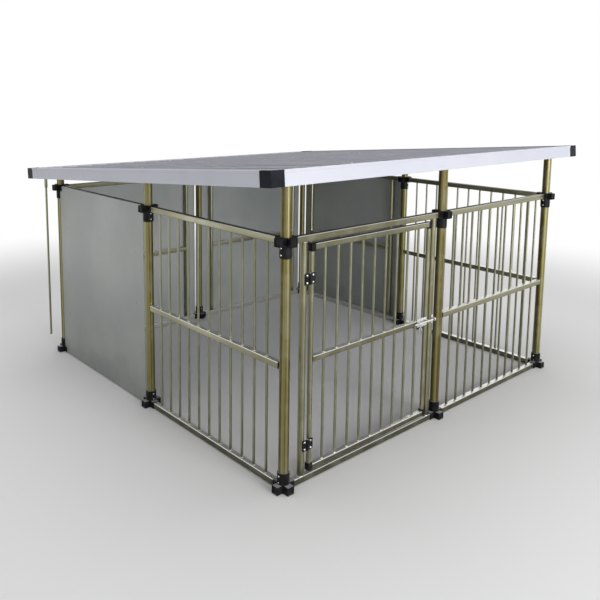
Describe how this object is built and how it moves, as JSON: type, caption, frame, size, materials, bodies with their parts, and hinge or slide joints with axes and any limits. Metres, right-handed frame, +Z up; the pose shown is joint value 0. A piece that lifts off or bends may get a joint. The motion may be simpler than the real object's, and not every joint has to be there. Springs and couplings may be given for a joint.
{
  "type": "outdoor dog house",
  "caption": "Square outdoor dog house: round posts in plastic cross connectors, barred and sheet walls, a bolted swing door and a pitched ribbed metal roof with a gutter.",
  "frame": {"origin": "on the ground, under the centre of the roof's outline", "axes": "+Z up, the door side faces -Y, +X to the right as one looks at the door"},
  "size_m": [2.074, 1.9814, 1.17],
  "materials": {
    "polished_steel": "polished stainless tube",
    "black_plastic": "moulded, fine grain",
    "grey_sheet": "plain rolled sheet, satin",
    "aluminium_edge": "mill finish extrusion",
    "roof_metal": "coated sheet, satin",
    "bright_latch": "bright plated"
  },
  "bodies": {
    "frame": {"post_front_left": "polished_steel", "post_front_mid": "polished_steel", "post_front_right": "polished_steel", "post_mid_left": "polished_steel", "post_mid_right": "polished_steel", "post_rear_left": "polished_steel", "post_rear_mid": "polished_steel", "post_rear_right": "polished_steel", "foot_front_left": "black_plastic", "foot_front_mid": "black_plastic", "foot_front_right": "black_plastic", "foot_mid_left": "black_plastic", "foot_mid_right": "black_plastic", "foot_rear_left": "black_plastic", "foot_rear_mid": "black_plastic", "foot_rear_right": "black_plastic", "connector_front_left": "black_plastic", "connector_front_mid": "black_plastic", "connector_front_right": "black_plastic", "connector_mid_left": "black_plastic", "connector_mid_right": "black_plastic", "connector_rear_left": "black_plastic", "connector_rear_mid": "black_plastic", "connector_rear_right": "black_plastic", "grille_front": "polished_steel", "grille_left": "polished_steel", "grille_right": "polished_steel", "wall_frame_left": "polished_steel", "wall_frame_right": "polished_steel", "wall_frame_rear_left": "polished_steel", "wall_frame_rear_right": "polished_steel", "wall_sheet_left": "grey_sheet", "wall_sheet_right": "grey_sheet", "wall_sheet_rear_left": "grey_sheet", "wall_sheet_rear_right": "grey_sheet", "door_frame": "polished_steel", "hinge_lower_frame_wing": "black_plastic", "hinge_upper_frame_wing": "black_plastic", "latch_keeper": "bright_latch", "roof_edge_front": "aluminium_edge", "roof_edge_left": "aluminium_edge", "roof_edge_right": "aluminium_edge", "roof_gutter": "aluminium_edge", "roof_corner_front_left": "black_plastic", "roof_corner_front_right": "black_plastic", "roof_corner_rear_left": "black_plastic", "roof_corner_rear_right": "black_plastic", "roof_beam_front": "polished_steel", "roof_beam_mid": "polished_steel", "roof_beam_rear": "polished_steel", "roof_sheet": "roof_metal"},
    "door": {"door_leaf": "polished_steel", "leaf_corner_top_hinge": "black_plastic", "leaf_corner_top_latch": "black_plastic", "leaf_corner_bottom_hinge": "black_plastic", "leaf_corner_bottom_latch": "black_plastic", "hinge_lower_leaf_wing": "black_plastic", "hinge_upper_leaf_wing": "black_plastic", "latch_base": "bright_latch"},
    "bolt": {"latch_bolt": "bright_latch"}
  },
  "joints": [
    {"name": "door_hinge", "type": "hinge", "parent": "frame", "child": "door", "pos_m": [-0.7954, -0.92631, 0.45], "axis": [0, 0, -1], "range_deg": [0, 150]},
    {"name": "bolt_slide", "type": "slide", "parent": "door", "child": "bolt", "axis": [1, 0, 0], "range_m": [0, 0.022]}
  ]
}
